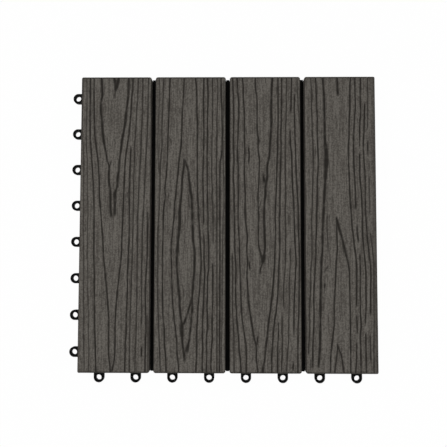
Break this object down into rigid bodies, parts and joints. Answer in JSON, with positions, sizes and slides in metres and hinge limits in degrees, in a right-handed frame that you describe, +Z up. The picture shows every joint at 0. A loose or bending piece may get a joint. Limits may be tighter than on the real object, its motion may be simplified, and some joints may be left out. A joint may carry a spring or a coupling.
{
  "type": "interlocking deck tile",
  "caption": "Square deck tile of grained composite slats on a black plastic grid, with loops and pins at its edges that join it to the next tiles.",
  "frame": {"origin": "on the ground, under the centre of the square field of slats", "axes": "+Z up, +Y along the slats, +X across them; loops stand out of the -X and -Y sides"},
  "size_m": [0.312, 0.312, 0.022],
  "materials": {
    "base_grid": "moulded satin black",
    "slat": "matt wood-plastic composite with embossed grain"
  },
  "bodies": {
    "root": {"base_grid": "base_grid", "slat_1": "slat", "slat_2": "slat", "slat_3": "slat", "slat_4": "slat"}
  },
  "joints": []
}
